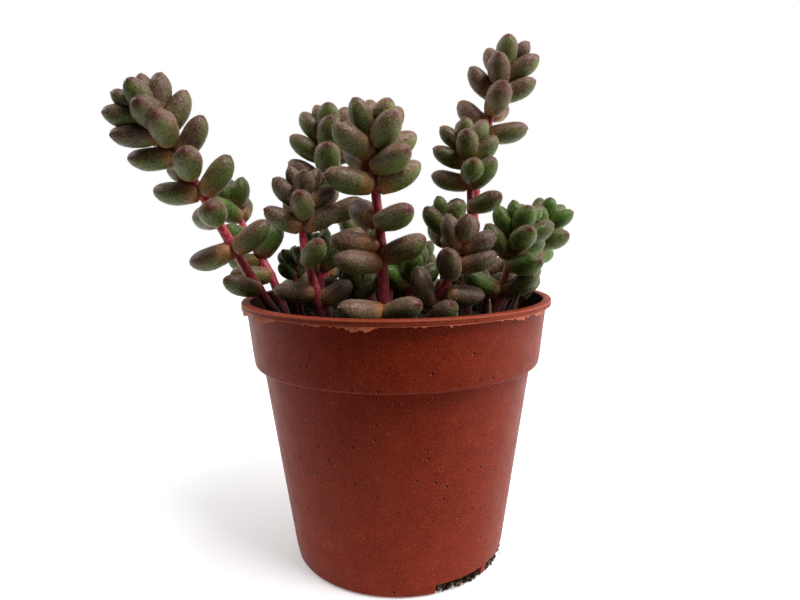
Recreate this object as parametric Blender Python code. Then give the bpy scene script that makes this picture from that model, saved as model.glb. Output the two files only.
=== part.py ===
"""Potted jelly bean plant: a nursery pot, the soil in it and the leafy stems that stand in the soil.

Sizes are in millimetres, and become metres where a mesh is made. The pot's axis is Z, its foot
stands on z = 0, and the front of the plant faces -Y.
"""

import math
import random
from collections import namedtuple

import bmesh
import bpy
import numpy as np
from mathutils import Vector

MM = 0.001
GAP = 0.3

# Pot
POT_HEIGHT = 47.25
POT_SIDES = 40
WALL = 0.6
FLOOR = 0.8
LIP_RADIUS = 27.5
LIP_HEIGHT = 1.0
LIP_ROUND = 0.3
COLLAR_TOP_RADIUS = 26.62
COLLAR_FOOT_RADIUS = 25.55
COLLAR_FOOT_Z = POT_HEIGHT - 11.25
COLLAR_ROUND = 0.5
BODY_TOP_RADIUS = 24.14
BODY_FOOT_RADIUS = 19.09
FOOT_CHAMFER = 0.6

# Drainage notches through the foot of the wall, in degrees from the front towards +X
NOTCH_ARCS = ((18, 47), (51, 80), (198, 227), (231, 260))
NOTCH_HEIGHT = 2.0
NOTCH_INNER_RADIUS = 15.5
NOTCH_STEPS = 6

# Soil
SOIL_TOP = 42.2
SOIL_ROUGHNESS = 0.5
SOIL_BUMP_WIDTH = 4.5
SOIL_SIDES = 20
SOIL_RING_STEP = 4.2
PLUG_BOTTOM = 0.4
PLUG_MARGIN = 1.5

# Stems
STEM_RADIUS = 0.95
STEM_TOP_RADIUS = 0.5
STEM_SIDES = 6
STEM_STEP = 5.0
STEM_DEPTH = 7.5
HOLE_DEPTH = 8.0
HOLE_RADIUS = 1.55
HOLE_SIDES = 6
STRAIGHT_ABOVE_SOIL = 1.2

# One leaf: its length, then shares of its length, of its width or of the way along it
LEAF_LENGTH = 8.3
LEAF_WIDTH = 0.57
LEAF_THICKNESS = 0.94
LEAF_FLAT_TOP = 0.85
LEAF_ROOT = 0.72
LEAF_NECK = 0.1
LEAF_NECK_PINCH = 0.45
LEAF_WIDEST = 0.56
LEAF_BLUNTNESS = 2.0
LEAF_ARCH = 0.09
SUNK_DEPTH = 0.036
SUNK_WIDTH = 0.7

# Young leaves at the tip: wider and shorter, by shares that fade with each pair below
YOUNG_WIDER = 0.25
YOUNG_SHORTER = 0.62
GROWTH = 0.6

# Pairs of leaves: the turn between two pairs, how far apart they stand, and how steeply they rise
PAIR_TURN = 90
PAIR_START = 0.6
PAIR_STEP = 0.6
PAIR_GROWTH = 0.42
LOW_RISE = 10
TOP_RISE = 58
RISE_FALL = 0.3
UNEVEN_TURN = 7
UNEVEN_RISE = 4

# Sides and ring places of a faceted leaf, which swells by FACET_SPREAD to hold the round one
OLD_LEAF = (6, (0.36, 0.8))
YOUNG_LEAF = (5, (0.4, 0.8))
YOUNG_PAIRS = 2
FACET_SPREAD = 1.05
SHARP_ANGLE = 40

# Keeping leaves apart: balls along each leaf and stem, and what a shorter leaf costs, in degrees
BALL_PLACES = (0.25, 0.4, 0.55, 0.7, 0.84, 0.9)
BALL_STEP = 0.8
SHRINK_COST = 150

# A stem: the points it runs through from the soil to its tip, the number of leaf pairs in its
# head, the direction of the top pair in degrees from the front towards +X, how far apart the
# pairs stand, the size of its leaves, and the leaves left lower down, each as its place below the
# tip, its direction and how much more it rises.
Stem = namedtuple("Stem", "points pairs turn spread size low")
Leaf = namedtuple("Leaf", "root along side up length width age")

STEMS = {
    "stem_front_tall": Stem(
        ((-1.6, -14, SOIL_TOP), (-1.9, -14, 49.9), (-2.4, -14, 59.4), (-3.2, -14, 69),
         (-2.6, -14, 75.4)),
        4, -55, 0.48, 0.97,
        ((4.3, -64, -9), (4.4, 112, -4), (6.2, 42, -14), (6.3, 212, 0), (9, -78, -9), (9.4, 96, 0),
         (14.6, 212, 0), (14.8, 40, -9), (18.5, -105, -8), (20.2, 66, -5), (21, -62, -14),
         (29.2, -70, -8), (29.4, 44, 2))),
    "stem_front_left": Stem(
        ((-11.6, -13, SOIL_TOP), (-12.8, -13.5, 49.9), (-14.4, -14, 57.1), (-14.2, -14, 66)),
        6, 10, 0.43, 0.8, ((11.6, 36, -4), (16.5, -80, -8), (18.2, 125, -8))),
    "stem_front_right": Stem(
        ((4.9, -14, SOIL_TOP), (6.5, -14.5, 48.2), (8.9, -15, 52.7), (11, -15, 58.4)),
        3, 80, 0.7, 0.88,
        ((5, 78, 0), (5.4, 170, 0), (6.6, -26, 0), (9.8, 100, -10), (12.6, -98, 25), (15.6, 35, -14))),
    "stem_right": Stem(
        ((15.2, -9, SOIL_TOP), (17, -9.5, 47.4), (18.4, -10, 52.5), (20.5, -10.5, 60)),
        5, 0, 0.4, 0.84,
        ((5.4, -90, 4), (5.6, 112, 8), (6.8, 36, -4), (11.4, -85, 0), (11.8, 80, 0))),
    "stem_left_tall": Stem(
        ((-20.6, -2, SOIL_TOP), (-25.1, -4, 50.7), (-29.5, -6, 59.8), (-34.4, -8, 70),
         (-39.6, -10.5, 79.3)),
        6, 20, 0.34, 0.96,
        ((6.3, 26, 3), (6.5, 200, 0), (8.9, -92, 0), (9.1, 85, 6), (12.2, 20, 0), (12.4, 200, 0),
         (15.6, -90, 6), (16, 90, 4), (20.2, 20, 0), (20.6, 212, -8), (26.2, -92, -14),
         (26.4, 85, -4), (34.6, -35, -10))),
    "stem_left_rear": Stem(
        ((-21, 5, SOIL_TOP), (-24, 6, 50.4), (-28, 8, 57), (-32.6, 9.5, 66)),
        4, 75, 0.85, 0.92, ((11, -20, 0), (13.6, 78, 0), (14.4, -100, 0), (18, -50, 0), (22, 150, 0))),
    "stem_rear_centre": Stem(
        ((-13, 3, SOIL_TOP), (-13.6, 4, 49.8), (-13.4, 5, 62), (-12, 6, 78)),
        8, 0, 0.4, 0.98,
        ((12.6, 4, 0), (12.8, 185, 0), (16.4, 85, 0), (16.8, -95, 0), (22, 90, 0), (27, 165, 0),
         (31, 250, 0))),
    "stem_rear_low": Stem(
        ((8.4, 4, SOIL_TOP), (9.2, 5, 51.2), (9.8, 6, 61.5)),
        5, 30, 0.52, 0.9, ((8.6, 115, 0), (12.5, 60, 0), (14, 230, 0))),
    "stem_rear_right": Stem(
        ((13.9, 8, SOIL_TOP), (14.5, 8.5, 54.9), (14.4, 8.5, 66.4), (13.4, 8, 76)),
        5, 90, 0.48, 0.92,
        ((5, 120, 0), (7.5, 5, 0), (8.4, -95, -6), (8.9, 50, 15), (12.8, 40, -5), (28, 215, 0))),
    "stem_rear_tallest": Stem(
        ((15.5, 14, SOIL_TOP), (15.9, 15, 54.5), (16.4, 15, 67.3), (19, 16, 79.8), (23, 16, 92.2)),
        5, -28, 0.54, 1.0,
        ((7.6, 72, 4), (7.8, -98, 2), (10.6, 4, 5), (10.8, 168, 0), (13.8, -105, 6), (15.2, 80, -4),
         (40, 160, 0), (43.5, 75, 0), (44, -110, 0), (48, 10, 0))),
    "stem_right_rear": Stem(
        ((19.5, 6.5, SOIL_TOP), (23.2, 8, 49.3), (26.6, 9, 54.7), (29.8, 9, 61)),
        6, 45, 0.56, 0.9, ((12, 150, 0), (14.5, -40, 0))),
    "sprout_front": Stem(
        ((-12.8, -8, SOIL_TOP), (-13, -8, 48), (-13.2, -7.6, 57)),
        4, 30, 0.7, 0.75, ()),
    "sprout_left": Stem(
        ((-16.5, -3, SOIL_TOP), (-17.6, -3.5, 49), (-18.3, -4, 54.6)),
        4, 60, 0.55, 0.55, ()),
    "sprout_middle": Stem(
        ((2, -5.5, SOIL_TOP), (2.2, -6, 48), (2.4, -6, 53.4)),
        4, 15, 0.65, 0.85, ()),
    "sprout_low_left": Stem(
        ((-7, -4, SOIL_TOP), (-7.4, -4.5, 46), (-7.8, -5, 51)),
        4, 0, 0.6, 0.8, ()),
    "sprout_low_right": Stem(
        ((10, -7, SOIL_TOP), (10.6, -7.5, 46), (11, -8, 50.5)),
        4, 30, 0.6, 0.8, ()),
    "sprout_right": Stem(
        ((20, -2, SOIL_TOP), (21, -2, 45), (23, -2, 49)),
        3, 40, 0.7, 0.8, ()),
    "sprout_right_low": Stem(
        ((15.6, -2.5, SOIL_TOP), (15.8, -3, 46), (16, -3.5, 50)),
        3, 20, 0.7, 0.8, ()),
    "sprout_centre": Stem(
        ((-1.6, 0, SOIL_TOP), (-1.4, 0, 47), (-1, 0, 54)),
        4, 20, 0.8, 0.85, ()),
    "sprout_back": Stem(
        ((-4.5, 12, SOIL_TOP), (-6, 12.5, 50), (-8, 13, 61)),
        5, 60, 0.7, 0.9, ((12, 60, 0), (13, 240, 0))),
    "sprout_back_left": Stem(
        ((-14, 14, SOIL_TOP), (-15.5, 16, 47), (-18, 19, 53)),
        4, 20, 0.7, 0.9, ()),
    "sprout_back_right": Stem(
        ((5, 17, SOIL_TOP), (5, 19, 47), (4, 22, 54)),
        5, 100, 0.65, 0.85, ()),
}


def profile(t):
    """Half width of a leaf at t along it, as a share of its greatest: narrow root, blunt tip."""
    if t < LEAF_WIDEST:
        neck = 1 - LEAF_NECK_PINCH * max(1 - t / LEAF_NECK, 0) ** 2
        return neck * (LEAF_ROOT + (1 - LEAF_ROOT) * math.sin(math.pi / 2 * t / LEAF_WIDEST))
    return (1 - ((t - LEAF_WIDEST) / (1 - LEAF_WIDEST)) ** LEAF_BLUNTNESS) ** (1 / LEAF_BLUNTNESS)


def smooth_line(points, first_direction, step):
    """Points every step or so along a Catmull-Rom curve that leaves the first point as given."""
    knots = [np.array(p, float) for p in points]
    slopes = [first_direction * np.linalg.norm(knots[1] - knots[0])]
    slopes += [(after - before) / 2 for before, after in zip(knots, knots[2:])]
    slopes += [knots[-1] - knots[-2]]
    line = []
    for a, b, slope_a, slope_b in zip(knots, knots[1:], slopes, slopes[1:]):
        count = max(2, round(np.linalg.norm(b - a) / step))
        for t in np.arange(count) / count:
            line.append(
                (2 * t**3 - 3 * t**2 + 1) * a
                + (t**3 - 2 * t**2 + t) * slope_a
                + (3 * t**2 - 2 * t**3) * b
                + (t**3 - t**2) * slope_b
            )
    return line + [knots[-1]]


def stem_foot(stem):
    """Where the stem leaves the soil, and the direction in which it does."""
    start, second = (np.array(p, float) for p in stem.points[:2])
    return start, (second - start) / np.linalg.norm(second - start)


def stem_line(stem, step):
    """The stem's middle line: straight through its hole in the soil, then curved up to its tip."""
    start, lean = stem_foot(stem)
    above = start + lean * STRAIGHT_ABOVE_SOIL
    foot = start - lean * STEM_DEPTH
    return [foot] + smooth_line((above,) + stem.points[1:], lean, step)


def along_line(line, distance_from_tip):
    """The place and the upward direction at a distance below the stem's tip."""
    left = distance_from_tip
    for above, below in zip(line[::-1], line[-2::-1]):
        length = np.linalg.norm(above - below)
        if left <= length:
            return above + (below - above) * left / length, (above - below) / length
        left -= length
    return line[0], (line[1] - line[0]) / np.linalg.norm(line[1] - line[0])


def stem_radius(stem, share):
    """Radius at a share of the way from foot to tip."""
    return stem.size * (STEM_RADIUS + (STEM_TOP_RADIUS - STEM_RADIUS) * share**2)


def pair_place(pair):
    """How far below the tip a pair stands: close together at the top, wider apart below."""
    return PAIR_START + PAIR_STEP * pair + PAIR_GROWTH * pair**2


def pair_age(place):
    """The pair, as a number from the top, that would stand at a place below the tip."""
    middle = PAIR_STEP / (2 * PAIR_GROWTH)
    return math.sqrt(max(place - PAIR_START, 0) / PAIR_GROWTH + middle**2) - middle


def leaf_at(stem, line, place, direction, lift, shrink):
    """One leaf at a place below the tip, younger leaves being shorter and steeper."""
    age = pair_age(place / stem.spread)
    root, up = along_line(line, place)
    front = np.array((0.0, -1.0, 0.0))
    front = front - up * front.dot(up)
    front /= np.linalg.norm(front)
    right = np.cross(up, front)
    angle = math.radians(direction)
    outward = front * math.cos(angle) + right * math.sin(angle)
    rise = math.radians(LOW_RISE + TOP_RISE * math.exp(-RISE_FALL * age) + lift)
    along = outward * math.cos(rise) + up * math.sin(rise)
    leaf_up = up * math.cos(rise) - outward * math.sin(rise)
    length = LEAF_LENGTH * stem.size * shrink * (1 - YOUNG_SHORTER * math.exp(-GROWTH * age))
    width = length * LEAF_WIDTH * (1 + YOUNG_WIDER * math.exp(-GROWTH * age))
    return Leaf(root, along, np.cross(leaf_up, along), leaf_up, length, width, age)


def leaf_plan(name, stem):
    """Where a stem's leaves stand: place below the tip, direction, rise, each a little uneven."""
    chance = random.Random(name)
    plan = []
    for pair in range(stem.pairs):
        for side in (0, 180):
            plan.append((stem.spread * pair_place(pair), stem.turn + PAIR_TURN * pair + side, 0))
    uneven = []
    for place, direction, rise in plan + list(stem.low):
        turn = chance.uniform(-UNEVEN_TURN, UNEVEN_TURN)
        lift = chance.uniform(-UNEVEN_RISE, UNEVEN_RISE)
        uneven.append((place, direction + turn, rise + lift))
    return uneven


def leaf_middle(leaf, t):
    """The leaf's middle line, which arches gently up."""
    return leaf.root + leaf.along * leaf.length * t + leaf.up * leaf.length * LEAF_ARCH * t * abs(t)


def leaf_ring(leaf, t, sides, swell):
    """One ring of points round the leaf at t, flatter on its upper side."""
    half = leaf.width / 2 * profile(t) * swell
    ring = []
    for i in range(sides):
        a = 2 * math.pi * (i + 0.5) / sides
        rise = LEAF_THICKNESS * math.sin(a) * (LEAF_FLAT_TOP if math.sin(a) > 0 else 1)
        ring.append(leaf_middle(leaf, t) + half * (leaf.side * math.cos(a) + leaf.up * rise))
    return ring


def leaf_balls(leaf):
    """Balls that hold the leaf, as rows of x, y, z and radius."""
    swell = FACET_SPREAD * leaf.width / 2
    return np.array([(*leaf_middle(leaf, t), swell * profile(t)) for t in BALL_PLACES])


def stem_balls(stem):
    """Balls that hold the stem above the soil."""
    line = stem_line(stem, BALL_STEP)[1:]
    return np.array([
        (*place, FACET_SPREAD * stem_radius(stem, i / len(line))) for i, place in enumerate(line)
    ])


def closest(balls, others):
    """The smallest gap between two sets of balls."""
    if not len(others):
        return math.inf
    apart = np.linalg.norm(balls[:, None, :3] - others[None, :, :3], axis=2)
    return (apart - balls[:, None, 3] - others[None, :, 3]).min()


def clear_of_pot(balls):
    """Whether the balls stay off the soil and off the rim, inside it or over it."""
    out = np.hypot(balls[:, 0], balls[:, 1]) + balls[:, 3]
    low = balls[:, 2] - balls[:, 3]
    over_soil = low > SOIL_TOP + SOIL_ROUGHNESS + GAP
    inside = out < COLLAR_TOP_RADIUS - WALL - 2 * GAP
    return bool(np.all(over_soil & (inside | (low > POT_HEIGHT + GAP))))


# The ways a leaf is bent to come clear of another stem's leaves, the gentlest first
BENDS = sorted(
    ((turn, lift, shrink)
     for turn in (0, -12, 12, -24, 24, -36, 36)
     for lift in (0, -12, 12, 24, 36, -24)
     for shrink in (1, 0.88, 0.76)),
    key=lambda bend: abs(bend[0]) + abs(bend[1]) + SHRINK_COST * (1 - bend[2]),
)


def grow():
    """All leaves of all stems, each bent clear of the pot, the soil and the other stems."""
    stems = {name: stem_balls(stem) for name, stem in STEMS.items()}
    grown = {}
    taken = {}
    for name, stem in STEMS.items():
        others = np.concatenate([stems[n] for n in STEMS if n != name] + list(taken.values()))
        line = stem_line(stem, BALL_STEP)
        leaves = []
        for place, direction, rise in leaf_plan(name, stem):
            for turn, lift, shrink in BENDS:
                leaf = leaf_at(stem, line, place, direction + turn, rise + lift, shrink)
                balls = leaf_balls(leaf)
                if clear_of_pot(balls) and closest(balls, others) > GAP:
                    leaves.append(leaf)
                    break
        grown[name] = leaves
        taken[name] = np.concatenate([leaf_balls(leaf) for leaf in leaves])
    return grown


def material(name, colour, roughness):
    """A plain material in the part's colour."""
    made = bpy.data.materials.get(name) or bpy.data.materials.new(name)
    made.use_nodes = True
    shader = made.node_tree.nodes["Principled BSDF"]
    shader.inputs["Base Color"].default_value = (*colour, 1)
    shader.inputs["Roughness"].default_value = roughness
    shader.inputs["Metallic"].default_value = 0
    return made


def add_object(name, bm, surface=None):
    """An object from a bmesh, with its normals out, linked to the scene."""
    bmesh.ops.recalc_face_normals(bm, faces=bm.faces)
    mesh = bpy.data.meshes.new(name)
    bm.to_mesh(mesh)
    bm.free()
    mesh.shade_smooth()
    mesh.set_sharp_from_angle(angle=math.radians(SHARP_ANGLE))
    if surface:
        mesh.materials.append(surface)
    made = bpy.data.objects.new(name, mesh)
    bpy.context.scene.collection.objects.link(made)
    return made


def loft(bm, rings, tip=None):
    """Skins rings of equal length, closes the first with a face and the last with a tip or a face."""
    rows = [[bm.verts.new(Vector(p) * MM) for p in ring] for ring in rings]
    for low, high in zip(rows, rows[1:]):
        for i in range(len(low)):
            j = (i + 1) % len(low)
            bm.faces.new((low[i], low[j], high[j], high[i]))
    bm.faces.new(rows[0][::-1])
    if tip is None:
        bm.faces.new(rows[-1])
        return
    end = bm.verts.new(Vector(tip) * MM)
    for i in range(len(rows[-1])):
        bm.faces.new((rows[-1][i], rows[-1][(i + 1) % len(rows[-1])], end))


def turned(name, outline, sides, surface=None):
    """A solid turned about Z from an outline that starts and ends on the axis."""
    bm = bmesh.new()
    start, end = (bm.verts.new((0, 0, z * MM)) for z in (outline[0][1], outline[-1][1]))
    rings = []
    for radius, z in outline[1:-1]:
        ring = []
        for i in range(sides):
            a = 2 * math.pi * i / sides
            ring.append(bm.verts.new(Vector((radius * math.sin(a), -radius * math.cos(a), z)) * MM))
        rings.append(ring)
    for i in range(sides):
        j = (i + 1) % sides
        bm.faces.new((start, rings[0][j], rings[0][i]))
        bm.faces.new((end, rings[-1][i], rings[-1][j]))
        for low, high in zip(rings, rings[1:]):
            bm.faces.new((low[i], low[j], high[j], high[i]))
    return add_object(name, bm, surface)


def sector(name, inner, outer, bottom, top, start, stop):
    """A block that follows the pot's wall from one angle to another."""
    bm = bmesh.new()
    rings = []
    for i in range(NOTCH_STEPS + 1):
        a = math.radians(start + (stop - start) * i / NOTCH_STEPS)
        rings.append([
            (r * math.sin(a), -r * math.cos(a), z)
            for r, z in ((inner, bottom), (outer, bottom), (outer, top), (inner, top))
        ])
    loft(bm, rings)
    return add_object(name, bm)


def combine(base, tools, operation):
    """Joins the tools to the base, or cuts them from it, in one Boolean, and removes them."""
    group = bpy.data.collections.new("tools")
    bpy.context.scene.collection.children.link(group)
    for tool in tools:
        group.objects.link(tool)
    step = base.modifiers.new("combine", "BOOLEAN")
    step.operation = operation
    step.solver = "EXACT"
    step.operand_type = "COLLECTION"
    step.collection = group
    depsgraph = bpy.context.evaluated_depsgraph_get()
    result = bpy.data.meshes.new_from_object(base.evaluated_get(depsgraph))
    base.modifiers.clear()
    base.data = result
    for tool in tools:
        bpy.data.objects.remove(tool)
    bpy.data.collections.remove(group)
    return base


def keep_main_body(thing):
    """Drops loose scraps, and the inner skins of hollows that fusing sealed, which fills them."""
    bm = bmesh.new()
    bm.from_mesh(thing.data)
    unseen = set(bm.verts)
    bodies = []
    while unseen:
        body = {unseen.pop()}
        edge_of_body = list(body)
        while edge_of_body:
            for edge in edge_of_body.pop().link_edges:
                for vertex in edge.verts:
                    if vertex in unseen:
                        unseen.remove(vertex)
                        body.add(vertex)
                        edge_of_body.append(vertex)
        bodies.append(body)
    bodies.sort(key=len)
    for body in bodies[:-1]:
        bmesh.ops.delete(bm, geom=list(body), context="VERTS")
    bm.to_mesh(thing.data)
    bm.free()


def body_inside(z):
    """The inside radius of the tapered body at a height."""
    return BODY_FOOT_RADIUS + (BODY_TOP_RADIUS - BODY_FOOT_RADIUS) * z / COLLAR_FOOT_Z - WALL


def collar_inside(z):
    """The inside radius of the collar at a height."""
    share = (z - COLLAR_FOOT_Z) / (POT_HEIGHT - COLLAR_FOOT_Z)
    return COLLAR_FOOT_RADIUS + (COLLAR_TOP_RADIUS - COLLAR_FOOT_RADIUS) * share - WALL


def make_pot():
    """The thin-walled pot: lip, collar, step, tapered body, floor and drainage notches."""
    lip_foot = POT_HEIGHT - LIP_HEIGHT
    inner_step = COLLAR_FOOT_Z + WALL
    outline = (
        (0, 0),
        (BODY_FOOT_RADIUS - FOOT_CHAMFER, 0),
        (BODY_FOOT_RADIUS, FOOT_CHAMFER),
        (BODY_TOP_RADIUS, COLLAR_FOOT_Z),
        (COLLAR_FOOT_RADIUS - COLLAR_ROUND, COLLAR_FOOT_Z),
        (COLLAR_FOOT_RADIUS, COLLAR_FOOT_Z + COLLAR_ROUND),
        (COLLAR_TOP_RADIUS, lip_foot),
        (LIP_RADIUS - LIP_ROUND, lip_foot),
        (LIP_RADIUS, lip_foot + LIP_ROUND),
        (LIP_RADIUS, POT_HEIGHT - LIP_ROUND),
        (LIP_RADIUS - LIP_ROUND, POT_HEIGHT),
        (collar_inside(POT_HEIGHT), POT_HEIGHT),
        (collar_inside(inner_step), inner_step),
        (body_inside(COLLAR_FOOT_Z), inner_step),
        (body_inside(FLOOR), FLOOR),
        (0, FLOOR),
    )
    plastic = material("pot_plastic", (0.33, 0.07, 0.035), 0.6)
    pot = turned("pot", outline, POT_SIDES, plastic)
    notches = [
        sector("notch", NOTCH_INNER_RADIUS, LIP_RADIUS, -NOTCH_HEIGHT, NOTCH_HEIGHT, start, stop)
        for start, stop in NOTCH_ARCS
    ]
    return combine(pot, notches, "DIFFERENCE")


def make_hole(stem):
    """The plain hole that a stem stands in."""
    start, lean = stem_foot(stem)
    side = np.cross(lean, (0, 1, 0))
    side /= np.linalg.norm(side)
    back = np.cross(lean, side)
    rings = []
    for reach in (-HOLE_DEPTH, STRAIGHT_ABOVE_SOIL * 2):
        ring = []
        for i in range(HOLE_SIDES):
            a = 2 * math.pi * i / HOLE_SIDES
            ring.append(start + lean * reach + HOLE_RADIUS * (side * math.cos(a) + back * math.sin(a)))
        rings.append(ring)
    bm = bmesh.new()
    loft(bm, rings)
    return add_object("hole", bm)


def soil_height(x, y):
    """The height of the gently uneven soil."""
    turn = 2 * math.pi / SOIL_BUMP_WIDTH
    return SOIL_TOP + SOIL_ROUGHNESS * math.sin(turn * x) * math.cos(turn * y)


def make_soil():
    """The plug of soil: it fills the pot, shows in the notches and has a hole for each stem."""
    bottom = FLOOR + GAP
    step = COLLAR_FOOT_Z + WALL + GAP
    rim = collar_inside(SOIL_TOP) - GAP
    rings = int(rim / SOIL_RING_STEP)
    outline = [
        (0, bottom),
        (body_inside(bottom) - GAP, bottom),
        (body_inside(COLLAR_FOOT_Z) - GAP, step),
        (collar_inside(step) - GAP, step),
        *((rim - i * SOIL_RING_STEP, SOIL_TOP) for i in range(rings)),
        (0, SOIL_TOP),
    ]
    soil = turned("soil", outline, SOIL_SIDES, material("peat", (0.022, 0.014, 0.009), 0.95))
    for vertex in soil.data.vertices:
        x, y, z = vertex.co / MM
        if z > step + GAP and math.hypot(x, y) < rim - GAP:
            vertex.co.z = soil_height(x, y) * MM
    inner = NOTCH_INNER_RADIUS + GAP
    outer = body_inside(FLOOR) - GAP
    plugs = [
        sector("plug", inner, outer, PLUG_BOTTOM, NOTCH_HEIGHT, start + PLUG_MARGIN, stop - PLUG_MARGIN)
        for start, stop in NOTCH_ARCS
    ]
    combine(soil, plugs, "UNION")
    return combine(soil, [make_hole(stem) for stem in STEMS.values()], "DIFFERENCE")


def stem_tube(name, stem, surface):
    """The bare stem."""
    line = stem_line(stem, STEM_STEP)
    side = np.array((1.0, 0.0, 0.0))
    rings = []
    for i, place in enumerate(line):
        ahead = line[min(i + 1, len(line) - 1)] - line[max(i - 1, 0)]
        ahead /= np.linalg.norm(ahead)
        side = side - ahead * side.dot(ahead)
        side /= np.linalg.norm(side)
        back = np.cross(ahead, side)
        radius = FACET_SPREAD * stem_radius(stem, i / (len(line) - 1))
        ring = []
        for k in range(STEM_SIDES):
            a = 2 * math.pi * k / STEM_SIDES
            ring.append(place + radius * (side * math.cos(a) + back * math.sin(a)))
        rings.append(ring)
    bm = bmesh.new()
    loft(bm, rings)
    return add_object(name, bm, surface)


def make_leaf(leaf, surface):
    """One leaf, its root sunk in the stem."""
    sides, places = YOUNG_LEAF if leaf.age < YOUNG_PAIRS else OLD_LEAF
    rings = [leaf_ring(leaf, t, sides, FACET_SPREAD) for t in places]
    root = leaf_ring(leaf, 0, sides, FACET_SPREAD)
    middle = leaf_middle(leaf, 0)
    deep = leaf.along * leaf.length * SUNK_DEPTH
    sunk = [middle + (p - middle) * SUNK_WIDTH - deep for p in root]
    bm = bmesh.new()
    loft(bm, [sunk] + rings, leaf_middle(leaf, 1))
    return add_object("leaf", bm, surface)


def make_stem(name, stem, leaves):
    """A stem fused with its leaves."""
    skin = material("stem_skin", (0.35, 0.03, 0.05), 0.5)
    flesh = material("leaf_flesh", (0.09, 0.08, 0.04), 0.55)
    tube = stem_tube(name, stem, skin)
    combine(tube, [make_leaf(leaf, flesh) for leaf in leaves], "UNION")
    keep_main_body(tube)


def main():
    for old in list(bpy.data.objects):
        bpy.data.objects.remove(old)
    make_pot()
    make_soil()
    for name, leaves in grow().items():
        make_stem(name, STEMS[name], leaves)


main()
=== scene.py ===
"""The looks of the potted jelly bean plant: its pot, the peat and the downy leafy stems.

The plan of the plant is in millimetres, like its sizes, and becomes metres where a mesh is made.
The pot's axis is Z, its foot stands on z = 0, and the front of the plant faces -Y.
"""

import math
import random
from collections import namedtuple

import bmesh
import bpy
import numpy as np
from mathutils import Matrix, Vector, noise


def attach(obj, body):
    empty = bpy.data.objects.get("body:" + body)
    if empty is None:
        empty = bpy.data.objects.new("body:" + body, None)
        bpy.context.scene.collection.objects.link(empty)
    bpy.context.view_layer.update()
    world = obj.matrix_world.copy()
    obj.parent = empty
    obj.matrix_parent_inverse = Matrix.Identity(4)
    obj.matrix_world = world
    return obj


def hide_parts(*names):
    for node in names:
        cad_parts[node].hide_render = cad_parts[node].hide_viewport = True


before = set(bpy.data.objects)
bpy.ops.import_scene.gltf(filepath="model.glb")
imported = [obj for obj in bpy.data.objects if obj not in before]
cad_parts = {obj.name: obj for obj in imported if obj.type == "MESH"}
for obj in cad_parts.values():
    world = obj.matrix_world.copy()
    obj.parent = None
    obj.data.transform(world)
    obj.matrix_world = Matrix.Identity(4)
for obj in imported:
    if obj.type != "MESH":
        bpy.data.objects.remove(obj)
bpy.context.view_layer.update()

MM = 0.001
GAP = 0.3
TINY = 1e-9

# Pot
POT_HEIGHT = 47.25
POT_SIDES = 192
WALL = 0.6
FLOOR = 0.8
FLOOR_RING_RADIUS = 14.5
LIP_RADIUS = 27.5
LIP_HEIGHT = 1.0
LIP_ROUND = 0.3
LIP_GROOVE = 0.09
LIP_INNER_ROUND = 0.2
COLLAR_TOP_RADIUS = 26.62
COLLAR_FOOT_RADIUS = 25.55
COLLAR_HEIGHT = 11.25
COLLAR_FOOT_Z = POT_HEIGHT - COLLAR_HEIGHT
COLLAR_ROUND = 0.5
INNER_STEP_Z = COLLAR_FOOT_Z + WALL
BODY_TOP_RADIUS = 24.14
BODY_FOOT_RADIUS = 19.09
FOOT_ROUND = 0.8
ARC_STEPS = 5
SHARP_ANGLE = 40

# Rings of points up the outer walls: the first and the last share of the way up, and how many
BODY_RINGS = (0.07, 0.985, 14)
COLLAR_RINGS = (0.12, 0.97, 6)

# How pale the lip is painted, from 0 to 1: by wear all over it, and more along a line near its
# top, which is a painted highlight on the rounded edge over the wear
LIP_WEAR = 0.08
LINE_HIGHLIGHT = 0.5
LINE_WIDTH = 0.2
LINE_BELOW_TOP = 0.16
SLACK = 0.01

# Drainage notches through the foot of the wall, in degrees from the front towards +X
NOTCH_ARCS = ((18, 47), (51, 80), (198, 227), (231, 260))
NOTCH_HEIGHT = 2.0
NOTCH_INNER_RADIUS = 15.5
NOTCH_STEPS = 12
CUT_BOTTOM = -1

# Peat that fills the notches, a little short of their ends
PLUG_BOTTOM = 0.4
PLUG_MARGIN = 1.5
PLUG_STEPS = 30
PLUG_ROUGHNESS = 0.3
PLUG_BUMP_SIZE = 0.7
PLUG_TONE = 0.5

# Ragged flash that the mould left under the lip: where it starts, how far it hangs, the sizes of
# its tears and how far it curls outwards as a share of its drop
FLASH_COLUMNS = 900
FLASH_THICKNESS = 0.14
FLASH_OVERLAP = 0.12
FLASH_INSET = 0.08
FLASH_LEAST_DROP = 0.13
FLASH_DROP = 0.8
FLASH_COVER = 0.26
BROAD_TEAR_SIZE = 5
FINE_TEAR_SIZE = 0.9
FINE_TEAR_SHARE = 0.6
FINE_TEAR_FADING = 0.8
FLASH_CURL = 0.12
FLASH_CURL_SPREAD = 0.4
FLASH_CURL_SIZE = 1.5
FLASH_WEAR = [0.45, 1.0, 1.0, 0.45]

# Heights in the noise at which the broad tears, the fine tears and the curl are read
FLASH_SLICES = (3.0, 8.0, 5.0)

# A direction that no stalk or fibre runs along, from which the points of a tube are turned
TUBE_SIDE = (1.0, 0.13, 0.07)

# Noise: how much finer each layer is, how many there are, and over what span shapes read it
LAYER_RATIO = 2.0
LAYERS = 4
NOISE_SPAN = 99

# Peat
SOIL_TOP = 42.2
SOIL_ROUGHNESS = 0.5
SOIL_BUMP_WIDTH = 4.5
PEAT_STEP = 0.42
PEAT_GRAIN = 0.45
PEAT_GRAIN_SIZE = 1.4
PEAT_GRAIN_FADING = 1.0
PEAT_DEPTH = 3
PEAT_TAPER = 0.4
PEAT_TONE = 0.4

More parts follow.
